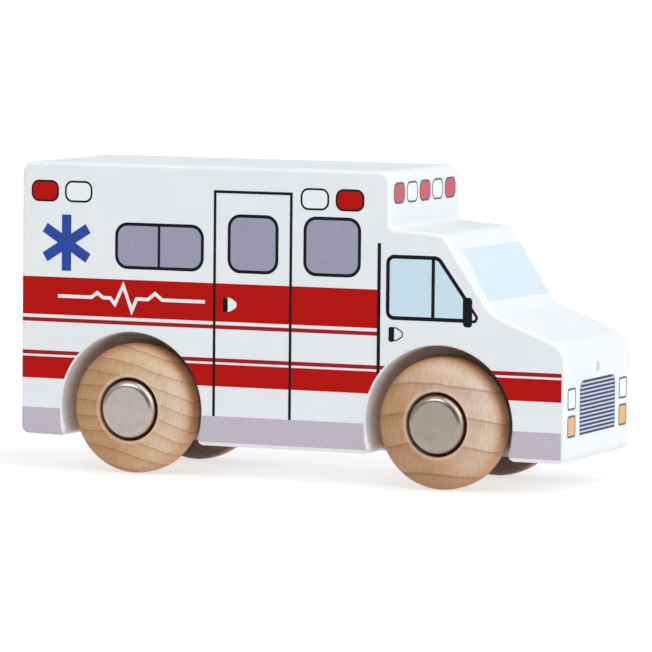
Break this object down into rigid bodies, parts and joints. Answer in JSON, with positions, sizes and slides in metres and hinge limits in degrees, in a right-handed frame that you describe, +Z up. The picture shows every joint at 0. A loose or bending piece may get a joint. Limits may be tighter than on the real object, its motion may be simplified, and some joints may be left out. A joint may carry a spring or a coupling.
{
  "type": "toy ambulance",
  "caption": "Wooden toy ambulance with a painted and printed block body and turned wheels that spin on steel axles.",
  "frame": {"origin": "on the floor, under the middle of the whole toy", "axes": "+X to the front of the vehicle, +Y to its left side, +Z up"},
  "size_m": [0.135, 0.0468, 0.0714],
  "materials": {
    "painted_wood": "satin white paint on wood, with printed stripes, windows and lights",
    "bare_wood": "turned hardwood, sanded, clear",
    "axle_steel": "drawn steel rod",
    "cap_plate": "satin nickel plate",
    "spring_steel": "tempered spring steel"
  },
  "bodies": {
    "block": {"body_block": "painted_wood"},
    "front_axle": {"front_axle": "axle_steel", "front_left_cap": "cap_plate", "front_right_cap": "cap_plate", "front_left_spring_nut": "spring_steel", "front_right_spring_nut": "spring_steel"},
    "front_left_wheel": {"front_left_wheel": "bare_wood"},
    "front_right_wheel": {"front_right_wheel": "bare_wood"},
    "rear_axle": {"rear_axle": "axle_steel", "rear_left_cap": "cap_plate", "rear_right_cap": "cap_plate", "rear_left_spring_nut": "spring_steel", "rear_right_spring_nut": "spring_steel"},
    "rear_left_wheel": {"rear_left_wheel": "bare_wood"},
    "rear_right_wheel": {"rear_right_wheel": "bare_wood"}
  },
  "joints": [
    {"name": "front_axle_spin", "type": "hinge", "parent": "block", "child": "front_axle", "pos_m": [0.0371, 0, 0.015], "axis": [0, 1, 0], "continuous": true},
    {"name": "front_left_wheel_spin", "type": "hinge", "parent": "front_axle", "child": "front_left_wheel", "pos_m": [0.0371, 0, 0.015], "axis": [0, 1, 0], "continuous": true},
    {"name": "front_right_wheel_spin", "type": "hinge", "parent": "front_axle", "child": "front_right_wheel", "pos_m": [0.0371, 0, 0.015], "axis": [0, 1, 0], "continuous": true},
    {"name": "rear_axle_spin", "type": "hinge", "parent": "block", "child": "rear_axle", "pos_m": [-0.0392, 0, 0.015], "axis": [0, 1, 0], "continuous": true},
    {"name": "rear_left_wheel_spin", "type": "hinge", "parent": "rear_axle", "child": "rear_left_wheel", "pos_m": [-0.0392, 0, 0.015], "axis": [0, 1, 0], "continuous": true},
    {"name": "rear_right_wheel_spin", "type": "hinge", "parent": "rear_axle", "child": "rear_right_wheel", "pos_m": [-0.0392, 0, 0.015], "axis": [0, 1, 0], "continuous": true}
  ]
}
